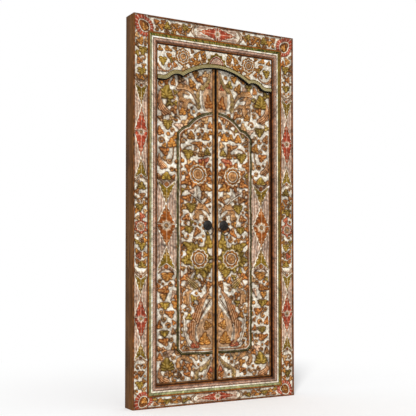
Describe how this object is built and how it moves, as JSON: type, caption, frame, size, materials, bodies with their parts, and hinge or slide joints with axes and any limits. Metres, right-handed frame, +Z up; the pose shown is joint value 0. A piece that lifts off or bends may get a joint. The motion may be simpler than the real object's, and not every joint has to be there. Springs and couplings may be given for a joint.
{
  "type": "carved temple door",
  "caption": "Pair of carved wooden door leaves with ring pulls, hung on pivot pins in a carved and moulded frame with a cusped arch board.",
  "frame": {"origin": "middle of the underside of the sill, half way between the front and the back of the frame", "axes": "+X across the door to the right seen from the front, +Y from the carved front to the back, +Z up"},
  "size_m": [1.03, 0.1, 2.1],
  "materials": {
    "carved_wood": "carved, painted and rubbed back",
    "plain_wood": "planed and waxed",
    "iron": "forged, blackened"
  },
  "bodies": {
    "frame": {"jamb_left": "carved_wood", "jamb_right": "carved_wood", "frame_head": "carved_wood", "frame_sill": "carved_wood", "arch_board": "carved_wood", "pegs_head_left": "plain_wood", "pegs_head_right": "plain_wood", "pegs_sill_left": "plain_wood", "pegs_sill_right": "plain_wood"},
    "door_left": {"leaf_left": "carved_wood", "batten_bottom_left": "plain_wood", "batten_middle_left": "plain_wood", "batten_top_left": "plain_wood", "batten_nails_left": "iron", "pivot_bottom_left": "plain_wood", "pivot_top_left": "plain_wood", "pull_boss_left": "iron", "pull_staple_left": "iron"},
    "ring_left": {"pull_ring_left": "iron"},
    "door_right": {"leaf_right": "carved_wood", "batten_bottom_right": "plain_wood", "batten_middle_right": "plain_wood", "batten_top_right": "plain_wood", "batten_nails_right": "iron", "pivot_bottom_right": "plain_wood", "pivot_top_right": "plain_wood", "pull_boss_right": "iron", "pull_staple_right": "iron"},
    "ring_right": {"pull_ring_right": "iron"}
  },
  "joints": [
    {"name": "leaf_left_swing", "type": "hinge", "parent": "frame", "child": "door_left", "pos_m": [-0.3695, -0.001, 1.05], "axis": [0, 0, 1], "range_deg": [0, 90]},
    {"name": "ring_left_swing", "type": "hinge", "parent": "door_left", "child": "ring_left", "pos_m": [-0.052, -0.0424, 0.981], "axis": [-1, 0, 0], "range_deg": [-12, 165]},
    {"name": "leaf_right_swing", "type": "hinge", "parent": "frame", "child": "door_right", "pos_m": [0.3695, -0.001, 1.05], "axis": [0, 0, -1], "range_deg": [0, 90]},
    {"name": "ring_right_swing", "type": "hinge", "parent": "door_right", "child": "ring_right", "pos_m": [0.052, -0.0424, 0.981], "axis": [-1, 0, 0], "range_deg": [-12, 165]}
  ]
}
